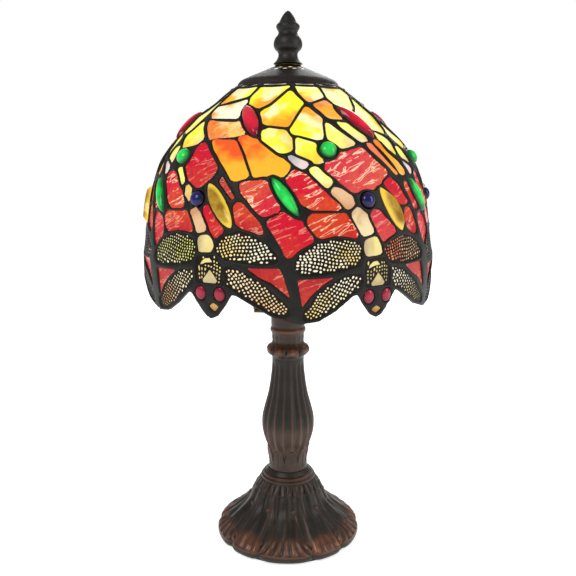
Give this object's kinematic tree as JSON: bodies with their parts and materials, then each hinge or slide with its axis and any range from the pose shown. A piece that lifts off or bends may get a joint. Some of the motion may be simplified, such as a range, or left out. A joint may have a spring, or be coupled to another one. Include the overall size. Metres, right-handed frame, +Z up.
{
  "type": "stained glass table lamp",
  "caption": "Small table lamp: leaded art-glass dome shade with jewelled dragonflies and a scalloped rim, on a fluted bronze column and a lobed round base.",
  "frame": {"origin": "centre of the felt pad's underside, on the table", "axes": "+Z up along the lamp's axis, -Y the front, +X to the right seen from the front"},
  "size_m": [0.2062, 0.2068, 0.3815],
  "materials": {
    "bronze": "dark antique bronze with copper showing on the ridges",
    "cap_bronze": "dark bronze, satin",
    "lead": "black patinated solder",
    "brass": "satin",
    "steel": "zinc plated",
    "felt": "felt",
    "rubber": "matt",
    "card": "pressed insulating card",
    "bakelite": "moulded, semi-gloss",
    "bulb_glass": "frosted, emissive when lit",
    "art_glass": "opalescent streaky glass, lit from inside",
    "red_jewel": "pressed jewel, polished",
    "green_jewel": "pressed jewel, polished",
    "blue_jewel": "pressed jewel, polished",
    "gold_jewel": "pressed jewel, polished"
  },
  "bodies": {
    "root": {"base_casting": "bronze", "base_cover_plate": "steel", "felt_pad": "felt", "cord_bushing": "rubber", "column": "bronze", "lamp_pipe": "steel", "pipe_nut": "brass", "lock_washer": "steel", "harp_saddle": "brass", "socket_cap": "brass", "socket_shell": "brass", "socket_liner": "card"},
    "switch_knob": {"switch_knob": "bakelite"},
    "bulb_base": {"bulb_base": "brass"},
    "bulb_glass": {"bulb_glass": "bulb_glass"},
    "harp": {"harp": "brass", "harp_stud": "brass"},
    "harp_sleeve_left": {"harp_sleeve_left": "brass"},
    "harp_sleeve_right": {"harp_sleeve_right": "brass"},
    "shade": {"top_cap": "cap_bronze", "crown_ring": "brass", "shade_lattice": "lead", "glass_panel_1": "art_glass", "glass_panel_2": "art_glass", "glass_panel_3": "art_glass", "glass_panel_4": "art_glass", "glass_panel_5": "art_glass", "glass_panel_6": "art_glass", "red_oval_jewel_1": "red_jewel", "green_round_jewel_1": "green_jewel", "green_marquise_jewel_1": "green_jewel", "blue_round_jewel_1": "blue_jewel", "gold_marquise_jewel_1": "gold_jewel", "red_oval_jewel_2": "red_jewel", "green_round_jewel_2": "green_jewel", "green_marquise_jewel_2": "green_jewel", "blue_round_jewel_2": "blue_jewel", "gold_marquise_jewel_2": "gold_jewel", "red_oval_jewel_3": "red_jewel", "green_round_jewel_3": "green_jewel", "green_marquise_jewel_3": "green_jewel", "blue_round_jewel_3": "blue_jewel", "gold_marquise_jewel_3": "gold_jewel", "red_oval_jewel_4": "red_jewel", "green_round_jewel_4": "green_jewel", "green_marquise_jewel_4": "green_jewel", "blue_round_jewel_4": "blue_jewel", "gold_marquise_jewel_4": "gold_jewel", "red_oval_jewel_5": "red_jewel", "green_round_jewel_5": "green_jewel", "green_marquise_jewel_5": "green_jewel", "blue_round_jewel_5": "blue_jewel", "gold_marquise_jewel_5": "gold_jewel", "red_oval_jewel_6": "red_jewel", "green_round_jewel_6": "green_jewel", "green_marquise_jewel_6": "green_jewel", "blue_round_jewel_6": "blue_jewel", "gold_marquise_jewel_6": "gold_jewel"},
    "finial_washer": {"finial_washer": "brass"},
    "finial": {"finial": "bronze"}
  },
  "joints": [
    {"name": "switch_turn", "type": "hinge", "parent": "root", "child": "switch_knob", "pos_m": [0, 0, 0.201], "axis": [0, -1, 0], "continuous": true},
    {"name": "bulb_rise", "type": "slide", "parent": "root", "child": "bulb_base", "axis": [0, 0, 1], "range_m": [0, 0.0181]},
    {"name": "bulb_turn", "type": "hinge", "parent": "bulb_base", "child": "bulb_glass", "pos_m": [0, 0, 0.2227], "axis": [0, 0, 1], "range_deg": [0, 1800]},
    {"name": "harp_lift", "type": "slide", "parent": "root", "child": "harp", "axis": [0, 0, 1], "range_m": [0, 0.03]},
    {"name": "sleeve_left_rise", "type": "slide", "parent": "harp", "child": "harp_sleeve_left", "axis": [0, 0, 1], "range_m": [0, 0.008]},
    {"name": "sleeve_right_rise", "type": "slide", "parent": "harp", "child": "harp_sleeve_right", "axis": [0, 0, 1], "range_m": [0, 0.008]},
    {"name": "shade_lift", "type": "slide", "parent": "harp", "child": "shade", "axis": [0, 0, 1], "range_m": [0, 0.19]},
    {"name": "finial_rise", "type": "slide", "parent": "shade", "child": "finial_washer", "axis": [0, 0, 1], "range_m": [0, 0.0216]},
    {"name": "finial_turn", "type": "hinge", "parent": "finial_washer", "child": "finial", "pos_m": [0, 0, 0.3462], "axis": [0, 0, 1], "range_deg": [0, 8280]}
  ],
  "couplings": [
    {"joint": "finial_turn", "follows": "finial_rise", "rad_per_m": 6678.9},
    {"joint": "bulb_turn", "follows": "bulb_rise", "rad_per_m": 1731.6}
  ]
}
